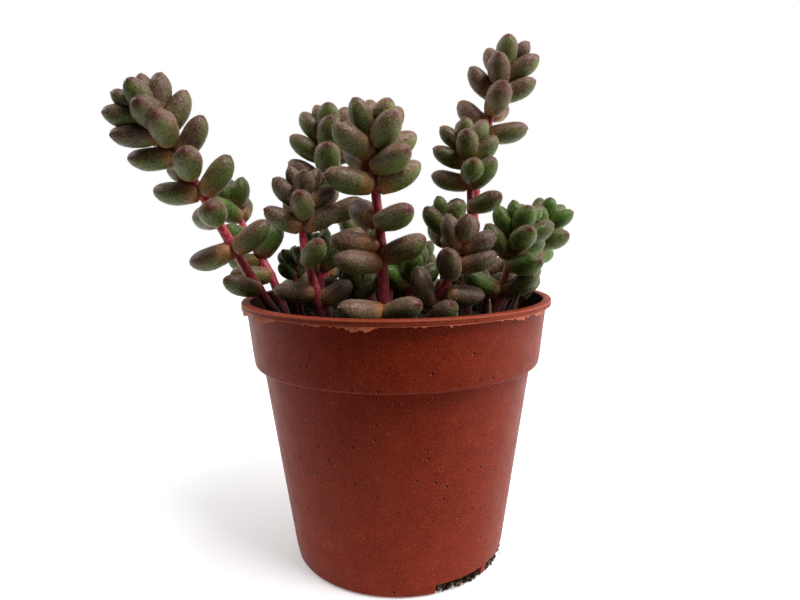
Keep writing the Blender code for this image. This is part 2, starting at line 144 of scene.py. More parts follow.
# Crumbs of peat: how many, the least size, how much more, and a power that keeps most small
Crumbs = namedtuple("Crumbs", "count least more power")
LOOSE_CRUMBS = Crumbs(1100, 0.16, 0.5, 3)
NOTCH_CRUMBS = Crumbs(240, 0.14, 0.42, 2)
LOOSE_REACH = 0.985
LOOSE_LIFT = 0.4
CRUMB_DEPTH = 2.2
CRUMB_INSET = 0.7
CRUMB_ROOM = 1.6
CRUMB_SINKING = 1.4
CRUMB_MARGIN = 2
LOWEST_CRUMB = 0.02

# One crumb: how finely its ball is divided, how it is pulled and how far it is squashed each way
CRUMB_DETAIL = 2
CRUMB_WARP = 0.7
CRUMB_WARP_RATE = 1.3
CRUMB_SQUASH = ((0.7, 1.3), (0.7, 1.3), (0.5, 0.9))

# Fibres in each notch: how many, their size, where they start and how far they reach and bow
FIBRE_COUNT = 26
FIBRE_RADIUS = 0.035
FIBRE_STEPS = 8
FIBRE_SIDES = 5
FIBRE_MARGIN = 3
FIBRE_DEPTH = 1.6
FIBRE_START_HEIGHTS = (0.2, 1.5)
FIBRE_REACH = (1.1, 1.1, 0.5)
FIBRE_LOWEST = 0.15
FIBRE_HEADROOM = 0.3
FIBRE_BOW = 0.3
FIBRE_ARCH = 0.1

# Dried leaf scraps on the peat: foot, tip, bow and greatest radius
SCRAPS = (
    ((14.2, -13.6, SOIL_TOP), (14.9, -14.2, 48.4), (0.3, 0, 0), 0.36),
    ((19.2, -11, SOIL_TOP), (20.6, -12, 49.6), (-0.8, 0, 0), 0.4),
    ((-3, 17, SOIL_TOP), (-1.2, 18.4, 47.4), (0.5, 0.3, 0), 0.36),
)
SCRAP_STEPS = 14
SCRAP_SIDES = 8
SCRAP_TAPER = 0.06

# Stems
STEM_RADIUS = 0.95
STEM_TOP_RADIUS = 0.5
STEM_DEPTH = 7.5
STRAIGHT_ABOVE_SOIL = 1.2
STALK_SIDES = 16
STALK_STEP = 0.45
STALK_KNOT = 0.14
STALK_KNOT_SIZE = 0.7
STALK_LUMPS = 0.05
STALK_LUMP_SIZE = 1.2
STALK_COLOUR_SPAN = 50

# One leaf: its length, then shares of its length, of its width or of the way along it
LEAF_LENGTH = 8.3
LEAF_WIDTH = 0.57
LEAF_THICKNESS = 0.94
LEAF_FLAT_TOP = 0.85
LEAF_ROOT = 0.72
LEAF_NECK = 0.1
LEAF_NECK_PINCH = 0.45
LEAF_WIDEST = 0.56
LEAF_BLUNTNESS = 2.0
LEAF_ARCH = 0.09

# Young leaves at the tip: wider and shorter, by shares that fade with each pair below
YOUNG_WIDER = 0.25
YOUNG_SHORTER = 0.62
GROWTH = 0.6

# Pairs of leaves: the turn between two pairs, how far apart they stand, and how steeply they rise
PAIR_TURN = 90
PAIR_START = 0.6
PAIR_STEP = 0.6
PAIR_GROWTH = 0.42
LOW_RISE = 10
TOP_RISE = 58
RISE_FALL = 0.3
UNEVEN_TURN = 7
UNEVEN_RISE = 4

# Keeping leaves apart: balls along each leaf and stem, the bends that are tried on a leaf, in degrees
# and as a share of its length, and what a shorter leaf costs, in degrees
BALL_PLACES = (0.25, 0.4, 0.55, 0.7, 0.84, 0.9)
BALL_STEP = 0.8
BALL_SPREAD = 1.05
BEND_TURNS = (0, -12, 12, -24, 24, -36, 36)
BEND_LIFTS = (0, -12, 12, 24, 36, -24)
BEND_SHRINKS = (1, 0.88, 0.76)
SHRINK_COST = 150

# The fine leaf: rings and sides, its small hard point, and its soft dents as a share of its radius
LEAF_RINGS = 18
LEAF_SIDES = 20
RING_CROWDING = 1.7
LAST_RING = 0.985
POINT_LENGTH = 0.13
POINT_RADIUS = 0.2
ROOT_LENGTH = 0.2
DENT_SIZE = 2.6
DENT_DEPTH = 0.05
LEAF_SWAY = 0.05
LEAF_PLUMPNESS = (0.96, 1.04)

# The red of a leaf's tip and of the streak above it: where each starts, over what share of the
# leaf it comes in, and how strong it is
TIP_START = 0.95
TIP_FADE = 0.04
TIP_RED = 0.85
STREAK_START = 0.72
STREAK_FADE = 0.25
STREAK_RED = 0.6
STREAK_NARROWNESS = 6

# Down on the leaves: fine hairs to the square millimetre, and one hair's size
DOWN_DENSITY = 6.2
STALK_DOWN_DENSITY = 4.0
HAIR_LENGTH = 0.19
HAIR_WIDTH = 0.05
HAIR_LEAN = 0.45
HAIR_SPREAD = 0.25
HAIR_UNEVEN = (0.6, 1.2)

# A stem: its place on the soil and the points it runs through up to its tip, the number of leaf
# pairs in its head, the direction of the top pair in degrees from the front towards +X, how far
# apart the pairs stand, the size of its leaves, how purple-brown the sun has turned them, how light
# they are, which on the low sprouts is painted shade, and the leaves left lower down: place below
# the tip, direction and how much more it rises.
Stem = namedtuple("Stem", "points pairs turn spread size flush tone low", defaults=[()])
Leaf = namedtuple("Leaf", "root along side up length width age")

STEMS = {
    "stem_front_tall": Stem(
        ((-1.6, -14), (-1.9, -14, 49.9), (-2.4, -14, 59.4), (-3.2, -14, 69), (-2.6, -14, 75.4)),
        4, -55, 0.48, 0.97, 0.6, 0.7,
        ((4.3, -64, -9), (4.4, 112, -4), (6.2, 42, -14), (6.3, 212, 0), (9, -78, -9), (9.4, 96, 0),
         (14.6, 212, 0), (14.8, 40, -9), (18.5, -105, -8), (20.2, 66, -5), (21, -62, -14),
         (29.2, -70, -8), (29.4, 44, 2))),
    "stem_front_left": Stem(
        ((-11.6, -13), (-12.8, -13.5, 49.9), (-14.4, -14, 57.1), (-14.2, -14, 66)),
        6, 10, 0.43, 0.8, 0.72, 0.46, ((11.6, 36, -4), (16.5, -80, -8), (18.2, 125, -8))),
    "stem_front_right": Stem(
        ((4.9, -14), (6.5, -14.5, 48.2), (8.9, -15, 52.7), (11, -15, 58.4)),
        3, 80, 0.7, 0.88, 0.8, 0.27,
        ((5, 78, 0), (5.4, 170, 0), (6.6, -26, 0), (9.8, 100, -10), (12.6, -98, 25), (15.6, 35, -14))),
    "stem_right": Stem(
        ((15.2, -9), (17, -9.5, 47.4), (18.4, -10, 52.5), (20.5, -10.5, 60)),
        5, 0, 0.4, 0.84, 0.2, 0.36,
        ((5.4, -90, 4), (5.6, 112, 8), (6.8, 36, -4), (11.4, -85, 0), (11.8, 80, 0))),
    "stem_left_tall": Stem(
        ((-20.6, -2), (-25.1, -4, 50.7), (-29.5, -6, 59.8), (-34.4, -8, 70), (-39.6, -10.5, 79.3)),
        6, 20, 0.34, 0.96, 0.66, 0.42,
        ((6.3, 26, 3), (6.5, 200, 0), (8.9, -92, 0), (9.1, 85, 6), (12.2, 20, 0), (12.4, 200, 0),
         (15.6, -90, 6), (16, 90, 4), (20.2, 20, 0), (20.6, 212, -8), (26.2, -92, -14),
         (26.4, 85, -4), (34.6, -35, -10))),
    "stem_left_rear": Stem(
        ((-21, 5), (-24, 6, 50.4), (-28, 8, 57), (-32.6, 9.5, 66)),
        4, 75, 0.85, 0.92, 0.25, 0.3,
        ((11, -20, 0), (13.6, 78, 0), (14.4, -100, 0), (18, -50, 0), (22, 150, 0))),
    "stem_rear_centre": Stem(
        ((-13, 3), (-13.6, 4, 49.8), (-13.4, 5, 62), (-12, 6, 78)),
        8, 0, 0.4, 0.98, 0.62, 0.54,
        ((12.6, 4, 0), (12.8, 185, 0), (16.4, 85, 0), (16.8, -95, 0), (22, 90, 0), (27, 165, 0),
         (31, 250, 0))),
    "stem_rear_low": Stem(
        ((8.4, 4), (9.2, 5, 51.2), (9.8, 6, 61.5)),
        5, 30, 0.52, 0.9, 0.3, 0.4, ((8.6, 115, 0), (12.5, 60, 0), (14, 230, 0))),
    "stem_rear_right": Stem(
        ((13.9, 8), (14.5, 8.5, 54.9), (14.4, 8.5, 66.4), (13.4, 8, 76)),
        5, 90, 0.48, 0.92, 0.5, 0.48,
        ((5, 120, 0), (7.5, 5, 0), (8.4, -95, -6), (8.9, 50, 15), (12.8, 40, -5), (28, 215, 0))),
    "stem_rear_tallest": Stem(
        ((15.5, 14), (15.9, 15, 54.5), (16.4, 15, 67.3), (19, 16, 79.8), (23, 16, 92.2)),
        5, -28, 0.54, 1.0, 0.8, 0.64,
        ((7.6, 72, 4), (7.8, -98, 2), (10.6, 4, 5), (10.8, 168, 0), (13.8, -105, 6), (15.2, 80, -4),
         (40, 160, 0), (43.5, 75, 0), (44, -110, 0), (48, 10, 0))),
    "stem_right_rear": Stem(
        ((19.5, 6.5), (23.2, 8, 49.3), (26.6, 9, 54.7), (29.8, 9, 61)),
        6, 45, 0.56, 0.9, 0.05, 0.38, ((12, 150, 0), (14.5, -40, 0))),
    # The low sprouts deep in the clump have a dark tone: painted shade of the clump's inside
    "sprout_front": Stem(((-12.8, -8), (-13, -8, 48), (-13.2, -7.6, 57)), 4, 30, 0.7, 0.75, 0.1, 0.1),
    "sprout_left": Stem(((-16.5, -3), (-17.6, -3.5, 49), (-18.3, -4, 54.6)), 4, 60, 0.55, 0.55, 0.05, 0.1),
    "sprout_middle": Stem(((2, -5.5), (2.2, -6, 48), (2.4, -6, 53.4)), 4, 15, 0.65, 0.85, 0.0, 0.12),
    "sprout_low_left": Stem(((-7, -4), (-7.4, -4.5, 46), (-7.8, -5, 51)), 4, 0, 0.6, 0.8, 0.35, 0.08),
    "sprout_low_right": Stem(((10, -7), (10.6, -7.5, 46), (11, -8, 50.5)), 4, 30, 0.6, 0.8, 0.4, 0.08),
    "sprout_right": Stem(((20, -2), (21, -2, 45), (23, -2, 49)), 3, 40, 0.7, 0.8, 0.45, 0.12),
    "sprout_right_low": Stem(((15.6, -2.5), (15.8, -3, 46), (16, -3.5, 50)), 3, 20, 0.7, 0.8, 0.3, 0.08),
    "sprout_centre": Stem(((-1.6, 0), (-1.4, 0, 47), (-1, 0, 54)), 4, 20, 0.8, 0.85, 0.1, 0.1),
    "sprout_back": Stem(
        ((-4.5, 12), (-6, 12.5, 50), (-8, 13, 61)),
        5, 60, 0.7, 0.9, 0.2, 0.4, ((12, 60, 0), (13, 240, 0))),
    "sprout_back_left": Stem(((-14, 14), (-15.5, 16, 47), (-18, 19, 53)), 4, 20, 0.7, 0.9, 0.3, 0.4),
    "sprout_back_right": Stem(((5, 17), (5, 19, 47), (4, 22, 54)), 5, 100, 0.65, 0.85, 0.15, 0.4),
}

# How much single leaves differ from their stem's, and how much redder the young ones are
FLUSH_SPREAD = 0.18
TONE_SPREAD = 0.15
YOUNG_FLUSH = 0.1
YOUTH_FADE = 0.5

# How orange a stem's stalk is
STALK_ORANGE = {"stem_right": 0.85, "stem_right_rear": 0.9, "stem_front_right": 0.15}

# Camera, as the photograph was taken: close by, looking a little down
CAMERA_PLACE = (0.66, -108.8, 61.05)
CAMERA_PITCH = 7.70
CAMERA_ROLL = 0.64
CAMERA_LENS = 27
CAMERA_SENSOR = 36
CAMERA_CLIP = 5

# Surroundings: bright behind and to the right, and dark where the photographer stands
FRONT_LIGHT = 0.0
BACK_LIGHT = 1.0
BRIGHT_SIDE = (0.55, 0.83, 0.0)
DARK_FACING = -0.7
BRIGHT_FACING = 0.6

# Lamps, in metres and watts: name, place, size and power, and the place at which they all point
LAMPS = (
    ("key", (0.15, -0.16, 0.41), 0.14, 1.45),
    ("left", (-0.3, 0.06, 0.26), 0.16, 0.42),
    ("side", (0.36, -0.02, 0.22), 0.2, 0.6),
)
LAMP_AIM = (0, 0, 0.05)

# Floor: a white sheet that ends in front of the plant and glows more with the distance from it
FLOOR_SIDE = 700
FLOOR_FRONT = -60
FLOOR_GLOW = 0.31
FAR_FLOOR_GLOW = 0.62
GLOW_FROM = 45
GLOW_TO = 150

# Colours as linear red, green and blue: a pair is the darker and the lighter end of a pattern
WHITE = (1.0, 1.0, 1.0)
FLOOR_WHITE = (0.8, 0.8, 0.8)
LEAF_GREEN = ((0.04, 0.08, 0.01), (0.158, 0.222, 0.034))
LEAF_FRESH_GREEN = (0.065, 0.23, 0.006)
LEAF_PURPLE = ((0.115, 0.055, 0.037), (0.208, 0.115, 0.078))
LEAF_ROOT_ORANGE = (0.46, 0.17, 0.06)
LEAF_SPECKLE = (0.035, 0.011, 0.008)
LEAF_PALE = (0.46, 0.4, 0.2)
LEAF_TIP_RED = (0.1, 0.014, 0.016)
LEAF_TONES = ((0.5, 0.5, 0.5), (1.5, 1.5, 1.5))
DOWN_PALE = (0.8, 0.7, 0.48)
STALK_CRIMSON = ((0.42, 0.014, 0.038), (0.7, 0.12, 0.14))
STALK_RUST = ((0.45, 0.085, 0.03), (0.72, 0.26, 0.12))
# Painted shade at the stalks' feet, deep in the clump
STALK_FOOT_SHADE = (0.06, 0.007, 0.011)
TERRACOTTA = ((0.168, 0.0156, 0.0044), (0.2, 0.0198, 0.006))
GRAIN_RED = (0.35, 0.058, 0.024)
DUST = (0.5, 0.2, 0.13)
# Painted highlight beside each pit
PIT_HIGHLIGHT = (0.6, 0.3, 0.2)
DARK_PIT = (0.04, 0.006, 0.003)
# Pale lip and flash: wear, with the painted highlight line along the lip's top
WEAR_AND_HIGHLIGHT = ((0.36, 0.058, 0.026), (0.7, 0.24, 0.13))
# Nearly black inside of the pot: peat stain and painted shade
INSIDE_STAIN_AND_SHADE = ((0.006, 0.003, 0.002), (0.03, 0.009, 0.005))
PEAT_DARK = ((0.005, 0.003, 0.002), (0.036, 0.021, 0.012))
PEAT_BROWN = (0.055, 0.031, 0.016)
PEAT_STRAW = (0.2, 0.15, 0.08)
PEAT_FIBRE = ((0.12, 0.1, 0.05), (0.42, 0.36, 0.2))
DRY_LEAF = ((0.09, 0.05, 0.025), (0.27, 0.18, 0.09))


def profile(t):
    """Half width of a leaf at t along it, as a share of its greatest."""
    if t < LEAF_WIDEST:
        neck = 1 - LEAF_NECK_PINCH * max(1 - t / LEAF_NECK, 0) ** 2
        return neck * (LEAF_ROOT + (1 - LEAF_ROOT) * math.sin(math.pi / 2 * t / LEAF_WIDEST))
    return (1 - ((t - LEAF_WIDEST) / (1 - LEAF_WIDEST)) ** LEAF_BLUNTNESS) ** (1 / LEAF_BLUNTNESS)


def smooth_line(points, first_direction, step):
    """Points every step or so along a smooth curve that leaves the first point as given."""
    knots = [np.array(p, float) for p in points]
    slopes = [first_direction * np.linalg.norm(knots[1] - knots[0])]
    slopes += [(after - before) / 2 for before, after in zip(knots, knots[2:])]
    slopes += [knots[-1] - knots[-2]]
    line = []
    for a, b, slope_a, slope_b in zip(knots, knots[1:], slopes, slopes[1:]):
        count = max(2, round(np.linalg.norm(b - a) / step))
        for t in np.arange(count) / count:
            line.append(
                (2 * t**3 - 3 * t**2 + 1) * a
                + (t**3 - 2 * t**2 + t) * slope_a
                + (3 * t**2 - 2 * t**3) * b
                + (t**3 - t**2) * slope_b
            )
    return line + [knots[-1]]


def stem_line(stem, step):
    """The stem's middle line: straight through its hole in the soil, then curved up to its tip."""
    start = np.array((*stem.points[0], SOIL_TOP), float)
    second = np.array(stem.points[1], float)
    lean = (second - start) / np.linalg.norm(second - start)
    above = start + lean * STRAIGHT_ABOVE_SOIL
    foot = start - lean * STEM_DEPTH
    return [foot] + smooth_line((above,) + stem.points[1:], lean, step)


def along_line(line, distance_from_tip):
    """The place and the upward direction at a distance below the stem's tip."""
    left = distance_from_tip
    for above, below in zip(line[::-1], line[-2::-1]):
        length = np.linalg.norm(above - below)
        if left <= length:
            return above + (below - above) * left / length, (above - below) / length
        left -= length
    return line[0], (line[1] - line[0]) / np.linalg.norm(line[1] - line[0])


def stem_radius(stem, share):
    """Radius at a share of the way from foot to tip."""
    return stem.size * (STEM_RADIUS + (STEM_TOP_RADIUS - STEM_RADIUS) * share**2)


def pair_place(pair):
    """How far below the tip a pair stands: close together at the top, wider apart below."""
    return PAIR_START + PAIR_STEP * pair + PAIR_GROWTH * pair**2


def pair_age(place):
    """The pair, as a number from the top, that would stand at a place below the tip."""
    middle = PAIR_STEP / (2 * PAIR_GROWTH)
    return math.sqrt(max(place - PAIR_START, 0) / PAIR_GROWTH + middle**2) - middle


def leaf_at(stem, line, place, direction, lift, shrink):
    """One leaf at a place below the tip. Young leaves are shorter and steeper."""
    age = pair_age(place / stem.spread)
    root, up = along_line(line, place)
    front = np.array((0.0, -1.0, 0.0))
    front = front - up * front.dot(up)
    front /= np.linalg.norm(front)
    right = np.cross(up, front)
    angle = math.radians(direction)
    outward = front * math.cos(angle) + right * math.sin(angle)
    rise = math.radians(LOW_RISE + TOP_RISE * math.exp(-RISE_FALL * age) + lift)
    along = outward * math.cos(rise) + up * math.sin(rise)
    leaf_up = up * math.cos(rise) - outward * math.sin(rise)
    length = LEAF_LENGTH * stem.size * shrink * (1 - YOUNG_SHORTER * math.exp(-GROWTH * age))
    width = length * LEAF_WIDTH * (1 + YOUNG_WIDER * math.exp(-GROWTH * age))
    return Leaf(root, along, np.cross(leaf_up, along), leaf_up, length, width, age)


def leaf_plan(name, stem):
    """Each leaf's place below the tip, direction and rise, a little uneven."""
    chance = random.Random(name)
    plan = []
    for pair in range(stem.pairs):
        for side in (0, 180):
            plan.append((stem.spread * pair_place(pair), stem.turn + PAIR_TURN * pair + side, 0))
    uneven = []
    for place, direction, rise in plan + list(stem.low):
        turn = chance.uniform(-UNEVEN_TURN, UNEVEN_TURN)
        lift = chance.uniform(-UNEVEN_RISE, UNEVEN_RISE)
        uneven.append((place, direction + turn, rise + lift))
    return uneven


def leaf_middle(leaf, t):
    """The leaf's middle line, which arches gently up."""
    return leaf.root + leaf.along * leaf.length * t + leaf.up * leaf.length * LEAF_ARCH * t * t


def leaf_balls(leaf):
    """Balls that hold the leaf, as rows of x, y, z and radius."""
    swell = BALL_SPREAD * leaf.width / 2
    return np.array([(*leaf_middle(leaf, t), swell * profile(t)) for t in BALL_PLACES])


def stem_balls(stem):
    """Balls that hold the stem above the soil."""
    line = stem_line(stem, BALL_STEP)[1:]
    return np.array([
        (*place, BALL_SPREAD * stem_radius(stem, i / len(line))) for i, place in enumerate(line)
    ])


def closest(balls, others):
    """The smallest gap between two sets of balls."""
    if not len(others):
        return math.inf
    apart = np.linalg.norm(balls[:, None, :3] - others[None, :, :3], axis=2)
    return (apart - balls[:, None, 3] - others[None, :, 3]).min()


def clear_of_pot(balls):
    """Whether the balls stay off the soil and off the rim, inside it or over it."""
    out = np.hypot(balls[:, 0], balls[:, 1]) + balls[:, 3]
    low = balls[:, 2] - balls[:, 3]
    over_soil = low > SOIL_TOP + SOIL_ROUGHNESS + GAP
    inside = out < COLLAR_TOP_RADIUS - WALL - 2 * GAP
    return bool(np.all(over_soil & (inside | (low > POT_HEIGHT + GAP))))


# The ways a leaf is bent to come clear of another stem's leaves, the gentlest first
BENDS = sorted(
    ((turn, lift, shrink) for turn in BEND_TURNS for lift in BEND_LIFTS for shrink in BEND_SHRINKS),
    key=lambda bend: abs(bend[0]) + abs(bend[1]) + SHRINK_COST * (1 - bend[2]),
)


def grow():
    """All leaves of all stems, each bent clear of the pot, the soil and the other stems."""
    stems = {name: stem_balls(stem) for name, stem in STEMS.items()}
    grown = {}
    taken = {}
    for name, stem in STEMS.items():
        others = np.concatenate([stems[n] for n in STEMS if n != name] + list(taken.values()))
        line = stem_line(stem, BALL_STEP)
        leaves = []
        for place, direction, rise in leaf_plan(name, stem):
            for turn, lift, shrink in BENDS:
                leaf = leaf_at(stem, line, place, direction + turn, rise + lift, shrink)
                balls = leaf_balls(leaf)
                if clear_of_pot(balls) and closest(balls, others) > GAP:
                    leaves.append(leaf)
                    break
        grown[name] = leaves
        taken[name] = np.concatenate([leaf_balls(leaf) for leaf in leaves])
    return grown


class Look:
    """A material, or the world, built node by node. Sizes of patterns are in millimetres."""

    def __init__(self, name, blocks=bpy.data.materials, shader="Principled BSDF"):
        self.block = blocks.new(name)
        self.block.use_nodes = True
        self.tree = self.block.node_tree
        self.shader = self.tree.nodes[shader]
        self.coordinates = self.node("TexCoord").outputs
        self.place = self.coordinates["Object"]

    def node(self, kind, inputs=(), **settings):
        """A new node, whose inputs are given by name or number."""
        made = self.tree.nodes.new("ShaderNode" + kind)
        for key, value in settings.items():
            setattr(made, key, value)
        for key, value in dict(inputs).items():
            self.put(made.inputs[key], value)
        return made

    def put(self, socket, value):
        """Links another node's output to the socket, or sets the socket's value."""
        if isinstance(value, bpy.types.NodeSocket):
            self.tree.links.new(value, socket)
        elif isinstance(value, tuple) and len(value) == 3 and socket.type == "RGBA":
            socket.default_value = (*value, 1)
        else:
            socket.default_value = value

    def set(self, **values):
        """Sets inputs of the shader, and gives the finished block."""
        for key, value in values.items():
            self.put(self.shader.inputs[key.replace("_", " ")], value)
        return self.block

    def value(self, attribute):
        """A number that the mesh holds at each of its points."""
        return self.node("Attribute", attribute_name=attribute).outputs["Fac"]

    def mapped(self, **inputs):
        """Places on the object, moved or stretched."""
        return self.node("Mapping", {"Vector": self.place, **inputs}).outputs[0]

    def noise(self, size, detail=3.0, roughness=0.5, place=None):
        """Soft clouds."""
        inputs = {"Vector": place or self.place, "Scale": 1 / (size * MM)}
        inputs.update({"Detail": detail, "Roughness": roughness})
        return self.node("TexNoise", inputs).outputs["Fac"]

    def cells(self, size, place=None):
        """The distance to the nearest of many scattered points."""
        inputs = {"Vector": place or self.place, "Scale": 1 / (size * MM)}
        return self.node("TexVoronoi", inputs).outputs["Distance"]

    def ramp(self, value, start, stop, low=0.0, high=1.0):
        """Goes smoothly from low to high as the value goes from start to stop."""
        inputs = {"Value": value, "From Min": start, "From Max": stop, "To Min": low, "To Max": high}
        made = self.node("MapRange", inputs, interpolation_type="SMOOTHSTEP")
        return made.outputs["Result"]

    def sum(self, first, second, times=1.0):
        """The first, plus the second as often as times says."""
        inputs = {0: second, 1: times, 2: first}
        return self.node("Math", inputs, operation="MULTIPLY_ADD").outputs[0]

    def times(self, first, second):
        """The product of two numbers."""
        return self.node("Math", {0: first, 1: second}, operation="MULTIPLY").outputs[0]

    def mix(self, share, first, second, blend="MIX"):
        """The first colour, with a share of the second."""
        inputs = {0: share, 6: first, 7: second}
        return self.node("Mix", inputs, data_type="RGBA", blend_type=blend).outputs[2]

    def bump(self, height, depth, normal=None):
        """The way the surface faces with bumps on it, over other bumps if a normal is given."""
        inputs = {"Height": height, "Distance": depth * MM, "Strength": 1.0}
        if normal:
            inputs["Normal"] = normal
        return self.node("Bump", inputs).outputs["Normal"]


def leaf_look():
    """Green flesh that the sun has flushed purple-brown, finely speckled and velvety."""
    look = Look("leaf_flesh")
    along, sun, flush, tone, tip = (look.value(n) for n in ("along", "sun", "flush", "tone", "tip"))
    patches = look.noise(2.2)
    flushed = look.sum(look.sum(look.sum(flush, sun, 0.9), along, 0.35), patches, 0.8)
    green = look.mix(look.noise(1.3), *LEAF_GREEN)
    green = look.mix(look.ramp(flush, 0.35, 0.0, 0.0, 0.5), green, LEAF_FRESH_GREEN)
    purple = look.mix(look.noise(1.0), *LEAF_PURPLE)
    colour = look.mix(look.ramp(flushed, 1.22, 1.95), green, purple)
    warm_root = look.ramp(look.sum(along, patches, 0.3), 0.6, 0.25)
    colour = look.mix(look.times(warm_root, 0.7), colour, LEAF_ROOT_ORANGE)
    speckle = look.times(look.ramp(look.cells(0.42), 0.5, 0.3), look.ramp(patches, 0.34, 0.54))
    colour = look.mix(look.times(speckle, 0.65), colour, LEAF_SPECKLE)
    pale = look.ramp(look.noise(0.24, detail=1), 0.55, 0.66)
    colour = look.mix(look.times(pale, 0.26), colour, LEAF_PALE)
    colour = look.mix(tip, colour, LEAF_TIP_RED)
    colour = look.mix(1.0, colour, look.mix(tone, *LEAF_TONES), "MULTIPLY")
    pebbles = look.bump(look.cells(0.3), depth=0.055)
    return look.set(
        Base_Color=colour,
        Roughness=look.ramp(look.noise(0.5, detail=2), 0.3, 0.7, 0.36, 0.5),
        Normal=look.bump(look.noise(1.4, detail=2), depth=0.12, normal=pebbles),
        Specular_IOR_Level=0.3,
        Subsurface_Weight=0.12, Subsurface_Radius=(1.0, 0.7, 0.3), Subsurface_Scale=0.6 * MM,
        Sheen_Weight=0.6, Sheen_Roughness=0.08, Sheen_Tint=(1.0, 0.9, 0.68),
    )


def down_look():
    """Pale short hairs."""
    look = Look("leaf_down")
    return look.set(Base_Color=DOWN_PALE, Roughness=0.7)


def stalk_look():
    """Crimson skin with paler flecks along the stalk, more orange on some stems, darkened towards the peat
    by painted shade.
    """
    look = Look("stalk_skin")
    flecks = look.noise(0.24, roughness=0.6, place=look.mapped(Scale=(1.0, 1.0, 0.35)))
    shown = look.ramp(flecks, 0.42, 0.66)
    colour = look.mix(look.value("orange"), look.mix(shown, *STALK_CRIMSON), look.mix(shown, *STALK_RUST))
    # Painted shade: near black towards the peat, where the clump's inside lies in shade
    colour = look.mix(look.ramp(look.value("height"), 0.22, 0.02), colour, STALK_FOOT_SHADE)
    return look.set(
        Base_Color=colour,
        Roughness=look.ramp(flecks, 0.3, 0.7, 0.5, 0.36),
        Normal=look.bump(flecks, depth=0.06, normal=look.bump(look.cells(0.3), depth=0.03)),
        Subsurface_Weight=0.15, Subsurface_Radius=(1.0, 0.3, 0.3), Subsurface_Scale=0.5 * MM,
        Sheen_Weight=0.2, Sheen_Roughness=0.4,
    )


def pot_look():
    """Terracotta-coloured plastic: a fine moulded grain, pits with a painted highlight beside each, dust
    and a paler, thinner lip with a painted highlight line.
    """
    look = Look("moulded_plastic")
    grain = look.noise(0.22, roughness=0.6)
    clouds = look.noise(3.5, roughness=0.6)
    colour = look.mix(look.ramp(clouds, 0.35, 0.68), *TERRACOTTA)
    colour = look.mix(look.times(look.ramp(grain, 0.45, 0.66), 0.55), colour, GRAIN_RED)
    dust = look.ramp(look.noise(3.4, detail=5, roughness=0.62), 0.62, 0.78)
    colour = look.mix(look.times(dust, 0.16), colour, DUST)
    marked = look.ramp(look.noise(6, detail=1), 0.36, 0.46)
    # Painted highlights: pale spots a little below and to the left of the pits, as on their lit inner
    # walls
    pit_highlight_place = look.mapped(Location=(0.16 * MM, 0.0, 0.1 * MM))
    flecks = look.ramp(look.cells(2.0, place=pit_highlight_place), 0.1, 0.06)
    colour = look.mix(look.times(flecks, look.times(marked, 0.5)), colour, PIT_HIGHLIGHT)
    pits = look.ramp(look.cells(2.0), 0.14, 0.09)
    colour = look.mix(look.times(pits, marked), colour, DARK_PIT)
    # Paler lip and flash: wear, and on the lip a painted highlight along its rounded top edge
    colour = look.mix(look.value("edge"), colour, look.mix(look.noise(0.7), *WEAR_AND_HIGHLIGHT))
    swells = look.bump(look.noise(2.4), depth=0.04)
    return look.set(
        Base_Color=colour,
        Roughness=look.ramp(look.noise(3, detail=4), 0.3, 0.7, 0.36, 0.46),
        Normal=look.bump(grain, depth=0.045, normal=swells),
        Specular_IOR_Level=0.06,
        Sheen_Weight=0.02, Sheen_Roughness=0.3, Sheen_Tint=(1.0, 0.85, 0.8),
    )


def inner_look():
    """The pot's inside, nearly black: a stain from wet peat, darkened further as painted shade of the dim
    inside.
    """
    look = Look("inside_stain_and_shade")
    colour = look.mix(look.noise(2, detail=4), *INSIDE_STAIN_AND_SHADE)
    return look.set(Base_Color=colour, Roughness=0.8, Specular_IOR_Level=0.1)


def peat_look():
    """Dark moist peat, its grains now and then a paler brown."""
    look = Look("peat")
    tone = look.value("tone")
    colour = look.mix(look.noise(0.5, detail=4, roughness=0.65), *PEAT_DARK)
    colour = look.mix(look.ramp(tone, 0.42, 0.75), colour, PEAT_BROWN)
    colour = look.mix(look.ramp(tone, 0.85, 1.0), colour, PEAT_STRAW)
    return look.set(
        Base_Color=colour,
        Roughness=look.ramp(look.noise(0.8, detail=2), 0.3, 0.7, 0.7, 1.0),
        Normal=look.bump(look.noise(0.28, detail=4, roughness=0.7), depth=0.14),
        Specular_IOR_Level=0.15,
    )


def fibre_look(name, colours):
    """Dry plant fibre, streaked from a darker to a lighter tone."""
    look = Look(name)
    streaks = look.noise(0.4, roughness=0.6)
    return look.set(
        Base_Color=look.mix(streaks, *colours), Roughness=0.6, Normal=look.bump(streaks, depth=0.03)
    )


def add_object(name, data):
    """A new object in the scene."""
    thing = bpy.data.objects.new(name, data)
    bpy.context.scene.collection.objects.link(thing)
    return thing


def make_piece(name, points, faces, look, slot, replaces=None, values=None):
    """An object from points in millimetres, which rides on the pot."""
    mesh = bpy.data.meshes.new(name)
    mesh.from_pydata(np.asarray(points, float) * MM, [], faces)
    mesh.update()
    for key, numbers in (values or {}).items():
        mesh.attributes.new(key, "FLOAT", "POINT").data.foreach_set("value", np.asarray(numbers, float))
    mesh.shade_smooth()
    mesh.materials.append(look)
    piece = add_object(name, mesh)
    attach(piece, "root")
    if replaces:
        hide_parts(replaces)
    return piece


def grid_faces(rings, sides, first=0):
    """Quads between closed rings of points."""
    faces = []
    for low in range(first, first + (rings - 1) * sides, sides):
        for i in range(sides):
            j = (i + 1) % sides
            faces.append((low + i, low + j, low + sides + j, low + sides + i))
    return faces


